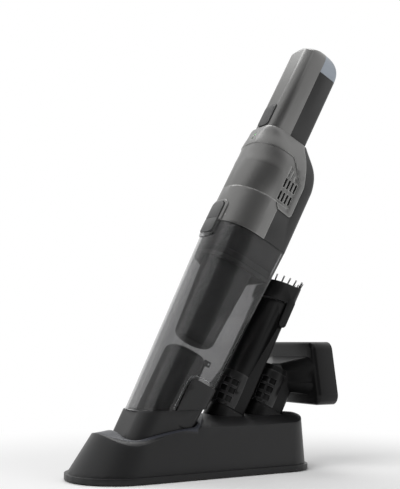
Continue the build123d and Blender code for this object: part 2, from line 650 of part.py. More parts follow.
# Tools: sleeves with windowed collars in front, pushed down over their pegs
def collar(section, bulge):
    front, rear, half, r_front, r_rear = section
    sections = [
        (tube_base + 0.5, front + 1.6, rear + 0.4, half + 0.4, r_front + 0.3, r_rear),
        (27.0, front + bulge, rear + 0.4, half + 1.3, r_front + 1.2, r_rear),
        (45.0, front + 1.0, rear + 0.4, half + 0.4, r_front + 0.3, r_rear),
    ]
    cage = d_loft(sections) & slab(-2.0, 40, 0, 60)
    cage -= d_loft(sections, 1.3) & slab(-10, 40, 14.0, 43.0)
    cage -= d_bar(section, 0, 60, -0.08)
    for row in (18.6, 26.6, 34.6):
        for k in range(6):
            turn = Rot(0, 0, 26.0 * (k - 2.5))
            cage -= Pos(1.0, 0, row) * turn * Pos(19.0, 0, 0) * Box(14.0, 6.2, 5.6)
    for k in range(5):
        tooth = Pos(1.0, 0, tube_base + 0.5) * Rot(0, 0, 32.0 * (k - 2)) * Pos(19.0, 0, 0) * Rot(45, 0, 0)
        cage -= tooth * Box(14.0, 3.4, 3.4)
    return cage


def slant_slab(z0, z1):
    tilt = Pos(tube_section[0], 0, z0) * Rot(0, hood_slant, 0)
    return tilt * Pos(-30, 0, (z1 - z0) / 2) * Box(160, 80, z1 - z0)


tube_end = slant_slab(tube_top, tube_top + 60)
crevice_tube = d_bar(tube_section, tube_base, 150) - d_bar(tube_section, 0, 160, tube_wall) - tube_end
pivot_x, pivot_z = brush_pivot
crevice_tube -= rod_y(pivot_x, pivot_z, -30, 30, brush_pin_radius + 0.01)
stop_ring = d_bar(tube_section, spigot_top + 0.5, spigot_top + 2.0, 0.5)
crevice_tube += stop_ring - d_bar(tube_section, 0, 60, 5.0)
hood_section = (18.3, 17.4, 17.2, 15.5, 5.5)
hood_wall = 1.7
hood = d_bar(hood_section, 100, 170) - d_bar(hood_section, 90, 180, hood_wall)
hood &= slant_slab(tube_top + 0.5, tube_top + 0.5 + hood_height)
arm_plan = Pos(pivot_x, (pivot_z + 128.0) / 2) * SlotOverall(128.0 - pivot_z + 8.0, 8.0, 90)
for side in (-1, 1):
    arm = extrude(Plane.XZ * arm_plan, arm_thickness)
    arm_y = side * (tube_section[2] + run_gap + arm_thickness / 2) + arm_thickness / 2
    hood += (Pos(0, arm_y, 0) * arm) - slant_slab(tube_top + 0.5 + hood_height - 2, 200)
hood -= rod_y(pivot_x, pivot_z, -30, 30, brush_pin_radius + pin_gap)
brush_pins = []
for side in (-1, 1):
    inner = side * (tube_section[2] - tube_wall)
    outer = side * (tube_section[2] + run_gap + arm_thickness)
    brush_pins.append(rod_y(pivot_x, pivot_z, min(inner, outer), max(inner, outer), brush_pin_radius))
bristles = []
tuft_path = d_face(0, *[value - hood_wall / 2 for value in hood_section]).face().outer_wire()
tuft_count = 18
tuft_length = 7.0
for k in range(tuft_count):
    spot = tuft_path @ (k / tuft_count)
    rise = (tube_section[0] - spot.X) * tan(radians(hood_slant))
    base = tube_top + 0.5 + hood_height / cos(radians(hood_slant)) + rise
    bristles.append(rod(spot.X, spot.Y, base + 0.25, base + tuft_length, 0.8))

save("crevice_tube", crevice * crevice_tube)
save("crevice_collar", crevice * collar(tube_section, 5.0))
save("brush_hood", crevice * hood)
save("brush_pins", Compound(children=[crevice * piece for piece in brush_pins]))
save("brush_bristles", Compound(children=[crevice * piece for piece in bristles]))

# Upholstery head: a wide upright mouth behind its sleeve, joined by a flared duct
head_x = (105.0, 127.0)
head_z = (59.0, 117.0)
head_half = (38.4, 49.5)
head_wall = 2.2
sleeve_top = 50.0
head_low, head_high = head_half[1], head_half[0]
head_corners = [(-head_low, head_z[0]), (head_low, head_z[0])]
head_corners += [(head_high, head_z[1]), (-head_high, head_z[1])]
head_plan = fillet(make_face(Polyline(*head_corners, close=True)).vertices(), 9.0)
head_block = Pos(head_x[0], 0, 0) * extrude(Plane.YZ * head_plan, head_x[1] - head_x[0])
head_block = fillet(head_block.faces().sort_by(Axis.X)[0].edges(), 4.0)
mouth_cut = Pos(head_x[0] + head_wall, 0, 0) * extrude(Plane.YZ * offset(head_plan, -head_wall - 4.0), 60)


def duct_face(x, z, width, height, radius):
    place = Plane(origin=(x, 0, z), x_dir=(0, 1, 0), z_dir=(1, 0, 0))
    return place * RectangleRounded(width, height, radius)


flare_wide = duct_face(head_x[0] + 1.0, 86.0, 84.0, 36.0, 12.0)
flare_outer = loft([duct_face(90.0, 84.0, 24.0, 26.0, 8.0), flare_wide])
flare_open = duct_face(head_x[0] + 3.0, 86.0, 80.0, 32.0, 10.0)
flare_inner = loft([duct_face(89.0, 84.0, 20.0, 22.0, 6.0), flare_open])
sleeve = upholstery * d_bar(sleeve_section, tube_base, sleeve_top)
sleeve_bore = upholstery * d_bar(sleeve_section, 0, sleeve_top - 1.8, tube_wall)
upholstery_head = (head_block - mouth_cut) + (flare_outer - sleeve_bore) + sleeve
upholstery_head -= sleeve_bore
upholstery_head -= flare_inner
lint_strips = []
for z in (head_z[0] + 3.1, head_z[1] - 3.1):
    lint_strips.append(Pos(head_x[1] + 0.65, 0, z) * Box(1.2, 68.0, 3.6))

save("upholstery_head", upholstery_head)
save("upholstery_collar", upholstery * collar(sleeve_section, 2.4))
save("lint_strips", Compound(children=lint_strips))
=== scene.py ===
from math import cos, pi, radians, sin
import bmesh
import bpy
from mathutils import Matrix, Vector


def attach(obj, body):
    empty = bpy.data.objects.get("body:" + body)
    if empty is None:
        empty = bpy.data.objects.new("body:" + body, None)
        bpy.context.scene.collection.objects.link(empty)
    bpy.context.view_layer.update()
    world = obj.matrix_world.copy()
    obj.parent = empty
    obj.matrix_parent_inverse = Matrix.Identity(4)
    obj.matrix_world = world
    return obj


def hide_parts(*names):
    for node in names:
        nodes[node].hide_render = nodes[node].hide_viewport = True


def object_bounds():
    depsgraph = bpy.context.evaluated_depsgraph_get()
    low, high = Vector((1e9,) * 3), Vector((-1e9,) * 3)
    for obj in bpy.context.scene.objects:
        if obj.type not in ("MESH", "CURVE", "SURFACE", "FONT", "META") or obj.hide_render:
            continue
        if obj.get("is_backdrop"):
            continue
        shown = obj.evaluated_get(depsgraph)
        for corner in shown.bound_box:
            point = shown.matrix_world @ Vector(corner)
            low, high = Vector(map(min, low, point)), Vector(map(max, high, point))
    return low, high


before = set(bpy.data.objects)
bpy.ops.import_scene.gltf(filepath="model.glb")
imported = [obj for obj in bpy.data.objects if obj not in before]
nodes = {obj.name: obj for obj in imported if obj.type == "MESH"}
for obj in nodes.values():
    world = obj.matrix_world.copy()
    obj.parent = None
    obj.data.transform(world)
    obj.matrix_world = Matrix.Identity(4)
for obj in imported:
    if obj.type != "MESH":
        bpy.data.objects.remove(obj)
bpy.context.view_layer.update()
scene = bpy.context.scene
scene.view_settings.view_transform = "Standard"
print("frame loaded:", len(nodes), "nodes")

# The vacuum leans back from its mouth: front, side and station are its own directions
vacuumAxis = {"lean": radians(28.0), "mouth": (-0.0465, 0.0, 0.028)}
leanCos, leanSin = cos(vacuumAxis["lean"]), sin(vacuumAxis["lean"])
towardFront = Vector((-leanCos, 0.0, leanSin))
alongBody = Vector((leanSin, 0.0, leanCos))


def onVacuum(front, side, station):
    across = Vector((0.0, -side, 0.0))
    return Vector(vacuumAxis["mouth"]) + front * towardFront + across + station * alongBody


# Shader groups shared by the finishes
def addNode(tree, kind, **settings):
    node = tree.nodes.new(kind)
    for key, value in settings.items():
        setattr(node, key, value)
    return node


def newGroup(name, inputs, outputs):
    group = bpy.data.node_groups.new(name, "ShaderNodeTree")
    for label, value in inputs.items():
        socket = group.interface.new_socket(label, in_out="INPUT", socket_type="NodeSocketFloat")
        socket.default_value = value
    for label in outputs:
        group.interface.new_socket(label, in_out="OUTPUT", socket_type="NodeSocketFloat")
    return group, addNode(group, "NodeGroupInput"), addNode(group, "NodeGroupOutput")


def mapRange(tree, source, low, high, toLow, toHigh, soft=False):
    node = addNode(tree, "ShaderNodeMapRange")
    if soft:
        node.interpolation_type = "SMOOTHSTEP"
    for label, value in (("From Min", low), ("From Max", high), ("To Min", toLow), ("To Max", toHigh)):
        node.inputs[label].default_value = value
    tree.links.new(source, node.inputs["Value"])
    return node.outputs["Result"]


def combine(tree, operation, first, second):
    node = addNode(tree, "ShaderNodeMath", operation=operation)
    for value, socket in ((first, node.inputs[0]), (second, node.inputs[1])):
        if isinstance(value, (int, float)):
            socket.default_value = value
        else:
            tree.links.new(value, socket)
    return node.outputs[0]


def noiseAt(tree, coord, scale, detail=3.0, rough=0.5):
    node = addNode(tree, "ShaderNodeTexNoise")
    node.inputs["Detail"].default_value = detail
    node.inputs["Roughness"].default_value = rough
    tree.links.new(coord.outputs["Object"], node.inputs["Vector"])
    tree.links.new(scale, node.inputs["Scale"])
    return node.outputs["Fac"]


def buildMouldGrain():
    # Fine spark grain of a moulded surface, with broad cloudy variation
    group, start, end = newGroup("mouldGrain", {"Grain": 2600.0, "Cloud": 28.0, "Contrast": 0.5},
                                 ("Tone", "Height"))
    coord = addNode(group, "ShaderNodeTexCoord")
    fine = noiseAt(group, coord, start.outputs["Grain"])
    broad = noiseAt(group, coord, start.outputs["Cloud"], 4.0, 0.6)
    centred = combine(group, "SUBTRACT", broad, 0.5)
    spread = combine(group, "MULTIPLY", centred, start.outputs["Contrast"])
    group.links.new(combine(group, "ADD", spread, 0.5), end.inputs["Tone"])
    group.links.new(fine, end.inputs["Height"])
    return group


def buildEdgeWearGlint():
    # Edges and corners made lighter: partly wear that hands and the dock have polished, partly a painted
    # highlight along the edges
    group, start, end = newGroup("edgeWearGlint", {"Reach": 0.0012, "Breakup": 160.0, "Amount": 1.0},
                                 ("Mask",))
    coord = addNode(group, "ShaderNodeTexCoord")
    soft = addNode(group, "ShaderNodeBevel", samples=4)
    group.links.new(start.outputs["Reach"], soft.inputs["Radius"])
    flat = addNode(group, "ShaderNodeNewGeometry")
    turn = addNode(group, "ShaderNodeVectorMath", operation="DOT_PRODUCT")
    group.links.new(soft.outputs["Normal"], turn.inputs[0])
    group.links.new(flat.outputs["Normal"], turn.inputs[1])
    edge = mapRange(group, turn.outputs["Value"], 0.995, 0.86, 0.0, 1.0)
    patch = noiseAt(group, coord, start.outputs["Breakup"], 5.0)
    patchy = mapRange(group, patch, 0.35, 0.65, 0.35, 1.0)
    wearAndGlint = combine(group, "MULTIPLY", edge, patchy)
    group.links.new(combine(group, "MULTIPLY", wearAndGlint, start.outputs["Amount"]), end.inputs["Mask"])
    return group


def buildBodyPlace():
    # Where a point lies on the vacuum: how far to its front, and how far up its axis
    group, start, end = newGroup("bodyPlace", {}, ("Front", "Side", "Station"))
    coord = addNode(group, "ShaderNodeTexCoord")
    shift = addNode(group, "ShaderNodeVectorMath", operation="SUBTRACT")
    shift.inputs[1].default_value = vacuumAxis["mouth"]
    group.links.new(coord.outputs["Object"], shift.inputs[0])
    for label, direction in (("Front", towardFront), ("Side", (0.0, -1.0, 0.0)), ("Station", alongBody)):
        along = addNode(group, "ShaderNodeVectorMath", operation="DOT_PRODUCT")
        along.inputs[1].default_value = direction
        group.links.new(shift.outputs[0], along.inputs[0])
        group.links.new(along.outputs["Value"], end.inputs[label])
    return group


mouldGrain = buildMouldGrain()
edgeWearGlint = buildEdgeWearGlint()
bodyPlace = buildBodyPlace()
print("shader groups ready")


def mixColour(tree, mask, first, second):
    node = addNode(tree, "ShaderNodeMix", data_type="RGBA")
    tree.links.new(mask, node.inputs["Factor"])
    for value, socket in ((first, node.inputs[6]), (second, node.inputs[7])):
        if hasattr(value, "is_linked"):
            tree.links.new(value, socket)
        else:
            socket.default_value = (*value, 1.0)
    return node.outputs[2]


def smoothFaces(mesh):
    for face in mesh.polygons:
        face.use_smooth = True


def startFinish(name):
    material = bpy.data.materials.new(name)
    material.use_nodes = True
    tree = material.node_tree
    return material, tree, tree.nodes["Principled BSDF"]


def mouldedFinish(name, colour, rough=0.42, metal=0.0, grain=2600.0, cloud=28.0, vary=0.18, contrast=0.5,
                  bump=0.05, edge=None, reach=0.0012, edgeAmount=0.8, coat=0.0, specular=0.5, glow=0.0):
    material, tree, shader = startFinish(name)
    shader.inputs["Metallic"].default_value = metal
    shader.inputs["Coat Weight"].default_value = coat
    shader.inputs["Coat Roughness"].default_value = 0.12
    shader.inputs["Specular IOR Level"].default_value = specular
    surface = addNode(tree, "ShaderNodeGroup", node_tree=mouldGrain)
    for label, value in (("Grain", grain), ("Cloud", cloud), ("Contrast", contrast)):
        surface.inputs[label].default_value = value
    darker = [c * (1.0 - vary) for c in colour]
    lighter = [c * (1.0 + vary) for c in colour]
    tint = mixColour(tree, surface.outputs["Tone"], darker, lighter)
    roughness = mapRange(tree, surface.outputs["Tone"], 0.2, 0.8, rough + 0.06, rough - 0.05)
    # Painted highlight with wear: edges take the lighter edge colour and a little less roughness
    if edge:
        wearGlintNode = addNode(tree, "ShaderNodeGroup", node_tree=edgeWearGlint)
        wearGlintNode.inputs["Reach"].default_value = reach
        wearGlintNode.inputs["Amount"].default_value = edgeAmount
        tint = mixColour(tree, wearGlintNode.outputs["Mask"], tint, edge)
        polish = combine(tree, "MULTIPLY", wearGlintNode.outputs["Mask"], 0.14)
        roughness = combine(tree, "SUBTRACT", roughness, polish)
    tree.links.new(tint, shader.inputs["Base Color"])
    tree.links.new(roughness, shader.inputs["Roughness"])
    if glow:
        tree.links.new(tint, shader.inputs["Emission Color"])
        shader.inputs["Emission Strength"].default_value = glow
    relief = addNode(tree, "ShaderNodeBump", name="relief")
    relief.inputs["Strength"].default_value = bump
    relief.inputs["Distance"].default_value = 0.0002
    tree.links.new(surface.outputs["Height"], relief.inputs["Height"])
    tree.links.new(relief.outputs["Normal"], shader.inputs["Normal"])
    return material


def repaint(material, mask, colour):
    # Lays a colour over what the finish already has, where the mask says
    tree = material.node_tree
    socket = tree.nodes["Principled BSDF"].inputs["Base Color"]
    tree.links.new(mixColour(tree, mask, socket.links[0].from_socket, colour), socket)


def smokedFinish(name, colour, rough=0.03):
    # Clear smoked moulding with faint flow clouds and a soft scuffed sheen
    material, tree, shader = startFinish(name)
    shader.inputs["Transmission Weight"].default_value = 1.0
    shader.inputs["IOR"].default_value = 1.12
    shader.inputs["Coat Weight"].default_value = 0.65
    shader.inputs["Coat Roughness"].default_value = 0.04
    surface = addNode(tree, "ShaderNodeGroup", node_tree=mouldGrain)
    surface.inputs["Grain"].default_value = 900.0
    surface.inputs["Cloud"].default_value = 16.0
    darker = [c * 0.95 for c in colour]
    lighter = [min(c * 1.05, 1.0) for c in colour]
    tree.links.new(mixColour(tree, surface.outputs["Tone"], darker, lighter), shader.inputs["Base Color"])
    tree.links.new(mapRange(tree, surface.outputs["Tone"], 0.3, 0.8, rough, rough + 0.05),
                   shader.inputs["Roughness"])
    return material


# One entry for each finish: colours are linear; each edge colour is a painted highlight on the edges
# together with wear
finishes = {
    "gunmetal": dict(colour=(0.190, 0.189, 0.186), rough=0.34, metal=0.85, grain=3400.0, vary=0.07,
                     bump=0.010, edge=(0.78, 0.78, 0.76), reach=0.0009, edgeAmount=0.8),
    "gunmetalHandle": dict(colour=(0.190, 0.189, 0.186), rough=0.36, metal=0.85, grain=3400.0, vary=0.07,
                           bump=0.010, edge=(0.42, 0.42, 0.41), reach=0.0009, edgeAmount=0.4),
    "charcoal": dict(colour=(0.030, 0.030, 0.030), rough=0.48, grain=2200.0, bump=0.03,
                     edge=(0.085, 0.085, 0.087), reach=0.0008, edgeAmount=0.35),
    "nozzleBlack": dict(colour=(0.011, 0.011, 0.0114), rough=0.44, specular=0.4, grain=2200.0, bump=0.03,
                        edge=(0.07, 0.07, 0.072), reach=0.0008, edgeAmount=0.35),
    "innerGrey": dict(colour=(0.024, 0.024, 0.024), rough=0.5, grain=2200.0, bump=0.03, specular=0.4),
    "standGrey": dict(colour=(0.0105, 0.0105, 0.0110), rough=0.42, specular=0.36, grain=2400.0, bump=0.025,
                      edge=(0.05, 0.05, 0.053), reach=0.0010, edgeAmount=0.35),
    "dishGrey": dict(colour=(0.022, 0.0235, 0.031), rough=0.38, specular=0.36, grain=2400.0, bump=0.02,
                     edge=(0.12, 0.125, 0.14), reach=0.0010, edgeAmount=0.4),
    "toolBlack": dict(colour=(0.0042, 0.0042, 0.0044), rough=0.36, specular=0.22, grain=2200.0, bump=0.025,
                      edge=(0.035, 0.035, 0.037), reach=0.0008, edgeAmount=0.4),
    "collarBlack": dict(colour=(0.0075, 0.0075, 0.0078), rough=0.32, grain=2200.0, bump=0.02, specular=0.4,
                        edge=(0.10, 0.10, 0.103), reach=0.0009, edgeAmount=0.9),
    "latchGrey": dict(colour=(0.060, 0.060, 0.060), rough=0.5, grain=1900.0, bump=0.04,
                      edge=(0.22, 0.22, 0.222), reach=0.0007, edgeAmount=0.6),
    "buttonBlack": dict(colour=(0.030, 0.030, 0.030), rough=0.55, grain=1600.0, bump=0.03,
                        edge=(0.08, 0.08, 0.082), reach=0.0006, edgeAmount=0.4),
    "sealRubber": dict(colour=(0.012, 0.012, 0.0125), rough=0.62, grain=1500.0, bump=0.1, specular=0.35),
    "zincSteel": dict(colour=(0.52, 0.53, 0.54), rough=0.3, metal=1.0, grain=1800.0, bump=0.05, vary=0.08),
    "cellMetal": dict(colour=(0.42, 0.43, 0.45), rough=0.35, metal=0.9, grain=1200.0, bump=0.05, vary=0.1),
    "boardGreen": dict(colour=(0.02, 0.10, 0.045), rough=0.35, grain=900.0, bump=0.05, vary=0.2, coat=0.3),
    "lensGreen": dict(colour=(0.40, 0.95, 0.42), rough=0.22, grain=900.0, bump=0.02, vary=0.06, glow=1.5),
    "filterCloth": dict(colour=(0.50, 0.49, 0.46), rough=0.85, grain=1400.0, bump=0.3, vary=0.15,
                        specular=0.2),
    "lintCloth": dict(colour=(0.022, 0.022, 0.024), rough=0.9, grain=1800.0, bump=0.3, vary=0.3,
                      specular=0.2),
    "bristle": dict(colour=(0.010, 0.010, 0.0105), rough=0.45, grain=900.0, bump=0.03, vary=0.3),
}
finishOf = {name: mouldedFinish(name, **values) for name, values in finishes.items()}
finishOf["smokedClear"] = smokedFinish("smokedClear", (0.375, 0.375, 0.378))
finishOf["clearRib"] = smokedFinish("clearRib", (0.86, 0.87, 0.88), 0.02)

# Painted reflection: the end of the handle, behind the split line and above the dark grip, is painted pale
# blue grey where its glossy facet mirrors the light
handleEndReflection = {"split": 0.0088, "above": 0.3977, "blur": 0.0002, "colour": (0.30, 0.33, 0.37)}
tree = finishOf["gunmetalHandle"].node_tree
place = addNode(tree, "ShaderNodeGroup", node_tree=bodyPlace)
split, lift, blur = handleEndReflection["split"], handleEndReflection["above"], handleEndReflection["blur"]
behind = mapRange(tree, place.outputs["Front"], split, split - blur, 0.0, 1.0)
above = mapRange(tree, place.outputs["Station"], lift, lift + blur, 0.0, 1.0)
repaint(finishOf["gunmetalHandle"], combine(tree, "MULTIPLY", behind, above), handleEndReflection["colour"])

# Fine raised dots on the power button
buttonDots = {"pitch": 0.0019, "low": 0.16, "high": 0.30, "colour": (0.055, 0.055, 0.056), "strength": 0.35}
tree = finishOf["buttonBlack"].node_tree
place = addNode(tree, "ShaderNodeGroup", node_tree=bodyPlace)
steps = []
for label in ("Side", "Station"):
    cell = combine(tree, "FRACT", combine(tree, "DIVIDE", place.outputs[label], buttonDots["pitch"]), 0.0)
    offset = combine(tree, "SUBTRACT", cell, 0.5)
    steps.append(combine(tree, "MULTIPLY", offset, offset))
reach = combine(tree, "SQRT", combine(tree, "ADD", *steps), 0.0)
dots = mapRange(tree, reach, buttonDots["low"], buttonDots["high"], 1.0, 0.0, soft=True)
repaint(finishOf["buttonBlack"], dots, buttonDots["colour"])
relief = tree.nodes["relief"]
relief.inputs["Strength"].default_value = buttonDots["strength"]
tree.links.new(dots, relief.inputs["Height"])

# Which CAD nodes wear which finish
wearing = {
    "gunmetal": ["cup_collar", "motor_cover", "latch_bezel"],
    "gunmetalHandle": ["handle_shell"],
    "charcoal": ["rear_housing", "rear_grip", "power_switch", "motor_mount", "impeller_shroud", "impeller",
                 "vent_near", "vent_far"],
    "nozzleBlack": ["nozzle", "nozzle_backplate"],
    "innerGrey": ["inlet_duct", "bulkhead", "filter_shroud"],
    "latchGrey": ["cup_latch"],
    "standGrey": ["stand_shell", "bottom_plate"],
    "dishGrey": ["dock_cradle"],
    "toolBlack": ["crevice_peg", "upholstery_peg", "upholstery_head", "crevice_tube", "brush_pins",
                  "brush_hood"],
    "collarBlack": ["upholstery_collar", "crevice_collar"],
    "buttonBlack": ["power_button"],
    "sealRubber": ["rubber_feet", "inlet_flap", "cup_seal"],
    "zincSteel": ["stand_screws", "flap_pin", "latch_pin", "latch_spring", "button_spring",
                  "motor_bearings", "housing_screws", "motor_shaft"],
    "cellMetal": ["battery_cells", "motor_can"],
    "boardGreen": ["circuit_board"],
    "lensGreen": ["led_lenses"],
    "filterCloth": ["filter_pleats"],
    "lintCloth": ["lint_strips"],
    "bristle": ["brush_bristles"],
    "smokedClear": ["cup_shell"],
}
rounding = {"width": 0.0004, "segments": 2, "angle": radians(32), "weld": 0.00001}
plainEdges = {"cup_shell", "filter_pleats", "brush_bristles", "impeller"}
for finish, members in wearing.items():
    for member in members:
        node = nodes[member]
        node.data.materials.clear()
        node.data.materials.append(finishOf[finish])
        smoothFaces(node.data)
        weld = node.modifiers.new("weld", "WELD")
        weld.merge_threshold = rounding["weld"]
        if member in plainEdges:
            split = node.modifiers.new("split", "EDGE_SPLIT")
            split.split_angle = rounding["angle"]
        else:
            bevel = node.modifiers.new("rounding", "BEVEL")
            bevel.width = rounding["width"]
            bevel.segments = rounding["segments"]
            bevel.limit_method = "ANGLE"
            bevel.angle_limit = rounding["angle"]
            bevel.harden_normals = True
missing = set(nodes) - {member for members in wearing.values() for member in members}
print("finishes set:", len(finishOf), "left bare:", sorted(missing))


# Geometry Nodes: a tree grows on a carrier mesh, and its result is kept as a plain mesh
def newTree(name, inputs):
    tree = bpy.data.node_groups.new(name, "GeometryNodeTree")
    tree.interface.new_socket("Geometry", in_out="INPUT", socket_type="NodeSocketGeometry")
    for label, value in inputs.items():
        kind = "NodeSocketInt" if isinstance(value, int) else "NodeSocketFloat"
        tree.interface.new_socket(label, in_out="INPUT", socket_type=kind).default_value = value
    tree.interface.new_socket("Geometry", in_out="OUTPUT", socket_type="NodeSocketGeometry")
    return tree, addNode(tree, "NodeGroupInput"), addNode(tree, "NodeGroupOutput")


def endTree(tree, geometry, end, material):
    solid = addNode(tree, "GeometryNodeRealizeInstances")
    paint = addNode(tree, "GeometryNodeSetMaterial")
    paint.inputs["Material"].default_value = material
    tree.links.new(geometry, solid.inputs[0])
    tree.links.new(solid.outputs[0], paint.inputs["Geometry"])
    tree.links.new(paint.outputs[0], end.inputs["Geometry"])


def grow(name, carrierMesh, tree, values):
    carrier = bpy.data.objects.new(name + "Carrier", carrierMesh)
    scene.collection.objects.link(carrier)
    modifier = carrier.modifiers.new("grow", "NODES")
    modifier.node_group = tree
    for item in tree.interface.items_tree:
        if item.in_out == "INPUT" and item.name in values:
            modifier[item.identifier] = values[item.name]
    bpy.context.view_layer.update()
    ready = carrier.evaluated_get(bpy.context.evaluated_depsgraph_get())
    mesh = bpy.data.meshes.new_from_object(ready)
    bpy.data.objects.remove(carrier)
    mesh.name = name
    piece = bpy.data.objects.new(name, mesh)
    scene.collection.objects.link(piece)
    return piece


def pointMesh(name, places, aims):
    mesh = bpy.data.meshes.new(name)
    mesh.from_pydata([tuple(place) for place in places], [], [])
    aim = mesh.attributes.new("aim", "FLOAT_VECTOR", "POINT")
    for index, direction in enumerate(aims):
        aim.data[index].vector = direction
    return mesh


def aimed(tree, vector):
    turn = addNode(tree, "FunctionNodeAlignRotationToVector", axis="Z")
    tree.links.new(vector, turn.inputs["Vector"])
    return turn.outputs["Rotation"]


# Brush tufts: small bundles of stiff strands set into the slanted rim of the hood
tuft = {"Strands": 7, "Length": 0.0069, "Strand": 0.00030, "Tip": 0.00016, "Spread": 0.00052, "Splay": 55.0,
        "Seed": 4}
tuftSet = {"flare": 0.16, "shortest": 0.88, "sides": 6}


def buildTuftTree():
    tree, start, end = newTree("brushTufts", tuft)
    ring = addNode(tree, "GeometryNodeMeshCircle")
    tree.links.new(start.outputs["Strands"], ring.inputs["Vertices"])
    tree.links.new(start.outputs["Spread"], ring.inputs["Radius"])
    strand = addNode(tree, "GeometryNodeMeshCone")
    strand.inputs["Vertices"].default_value = tuftSet["sides"]
    tree.links.new(start.outputs["Tip"], strand.inputs["Radius Top"])
    tree.links.new(start.outputs["Strand"], strand.inputs["Radius Bottom"])
    tree.links.new(start.outputs["Length"], strand.inputs["Depth"])
    where = addNode(tree, "GeometryNodeInputPosition")
    outward = addNode(tree, "ShaderNodeVectorMath", operation="SCALE")
    tree.links.new(where.outputs[0], outward.inputs[0])
    tree.links.new(start.outputs["Splay"], outward.inputs["Scale"])
    lifted = addNode(tree, "ShaderNodeVectorMath", operation="ADD")
    lifted.inputs[1].default_value = (0.0, 0.0, 1.0)
    tree.links.new(outward.outputs[0], lifted.inputs[0])
    bundle = addNode(tree, "GeometryNodeInstanceOnPoints")
    tree.links.new(ring.outputs["Mesh"], bundle.inputs["Points"])
    tree.links.new(strand.outputs["Mesh"], bundle.inputs["Instance"])
    tree.links.new(aimed(tree, lifted.outputs[0]), bundle.inputs["Rotation"])
    together = addNode(tree, "GeometryNodeRealizeInstances")
    tree.links.new(bundle.outputs[0], together.inputs[0])
    aim = addNode(tree, "GeometryNodeInputNamedAttribute", data_type="FLOAT_VECTOR")
    aim.inputs["Name"].default_value = "aim"
    length = addNode(tree, "FunctionNodeRandomValue", data_type="FLOAT")
    length.inputs[2].default_value = tuftSet["shortest"]
    length.inputs[3].default_value = 1.0
    tree.links.new(start.outputs["Seed"], length.inputs["Seed"])
    rows = addNode(tree, "GeometryNodeInstanceOnPoints")
    tree.links.new(start.outputs["Geometry"], rows.inputs["Points"])
    tree.links.new(together.outputs[0], rows.inputs["Instance"])
    tree.links.new(aimed(tree, aim.outputs["Attribute"]), rows.inputs["Rotation"])
    tree.links.new(length.outputs[1], rows.inputs["Scale"])
    endTree(tree, rows.outputs[0], end, finishOf["bristle"])
    return tree


def looseParts(node):
    # Points of each loose part of a node's mesh, on a merged copy
    form = bmesh.new()
    form.from_mesh(node.data)
    bmesh.ops.remove_doubles(form, verts=form.verts, dist=rounding["weld"])
    left, parts = set(form.verts), []
    for seed in form.verts:
        if seed not in left:
            continue
        left.remove(seed)
        found, edgeOut = [seed], [seed]
        while edgeOut:
            vertex = edgeOut.pop()
            for edge in vertex.link_edges:
                other = edge.other_vert(vertex)
                if other in left:
                    left.remove(other)
                    found.append(other)
                    edgeOut.append(other)
        parts.append([vertex.co.copy() for vertex in found])
    form.free()
    return parts


tuftParts = looseParts(nodes["brush_bristles"])
tuftCentres = [sum(part, Vector()) / len(part) for part in tuftParts]
hoodCentre = sum(tuftCentres, Vector()) / len(tuftCentres)
tuftPlaces, tuftAims = [], []
for centre in tuftCentres:
    outward = centre - hoodCentre
    outward -= outward.dot(alongBody) * alongBody
    aim = (alongBody + tuftSet["flare"] * outward.normalized()).normalized()
    tuftAims.append(aim)
    tuftPlaces.append(centre - 0.5 * tuft["Length"] * alongBody)
brushTufts = grow("brushTufts", pointMesh("tuftPoints", tuftPlaces, tuftAims), buildTuftTree(), tuft)
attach(brushTufts, "brush")
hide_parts("brush_bristles")
print("brush tufts:", len(tuftPlaces))

# Lint strips: a short nap on two backing strips at the mouth of the wide tool
nap = {"Density": 5200000.0, "Length": 0.0008, "Fibre": 0.00009, "Tilt": 0.5, "Seed": 11}
napBacking = {"facing": 0.7, "sides": 3, "corner": 0.0002}


def buildNapTree():
    tree, start, end = newTree("lintNap", nap)
    facing = addNode(tree, "GeometryNodeInputNormal")
    split = addNode(tree, "ShaderNodeSeparateXYZ")
    tree.links.new(facing.outputs[0], split.inputs[0])
    outer = addNode(tree, "FunctionNodeCompare", data_type="FLOAT", operation="GREATER_THAN")
    outer.inputs[1].default_value = napBacking["facing"]
    tree.links.new(split.outputs["X"], outer.inputs[0])
    scatter = addNode(tree, "GeometryNodeDistributePointsOnFaces")
    tree.links.new(start.outputs["Geometry"], scatter.inputs["Mesh"])
    tree.links.new(outer.outputs[0], scatter.inputs["Selection"])
    tree.links.new(start.outputs["Density"], scatter.inputs["Density"])
    tree.links.new(start.outputs["Seed"], scatter.inputs["Seed"])
    fibre = addNode(tree, "GeometryNodeMeshCone")
    fibre.inputs["Vertices"].default_value = napBacking["sides"]
    tree.links.new(start.outputs["Fibre"], fibre.inputs["Radius Bottom"])
    tree.links.new(start.outputs["Length"], fibre.inputs["Depth"])
    lean = addNode(tree, "FunctionNodeRandomValue", data_type="FLOAT_VECTOR")
    lowLean = addNode(tree, "ShaderNodeVectorMath", operation="SCALE")
    highLean = addNode(tree, "ShaderNodeVectorMath", operation="SCALE")
    for node, sign, socket in ((lowLean, -1.0, lean.inputs[0]), (highLean, 1.0, lean.inputs[1])):
        node.inputs[0].default_value = (sign, sign, sign)
        tree.links.new(start.outputs["Tilt"], node.inputs["Scale"])
        tree.links.new(node.outputs[0], socket)
    tree.links.new(start.outputs["Seed"], lean.inputs["Seed"])
    bend = addNode(tree, "FunctionNodeRotateRotation", rotation_space="LOCAL")
    tree.links.new(scatter.outputs["Rotation"], bend.inputs["Rotation"])
    tree.links.new(lean.outputs[0], bend.inputs["Rotate By"])
    pile = addNode(tree, "GeometryNodeInstanceOnPoints")
    tree.links.new(scatter.outputs["Points"], pile.inputs["Points"])
    tree.links.new(fibre.outputs["Mesh"], pile.inputs["Instance"])
    tree.links.new(bend.outputs[0], pile.inputs["Rotation"])
    both = addNode(tree, "GeometryNodeJoinGeometry")
    tree.links.new(pile.outputs[0], both.inputs[0])
    tree.links.new(start.outputs["Geometry"], both.inputs[0])
    endTree(tree, both.outputs[0], end, finishOf["lintCloth"])
    return tree


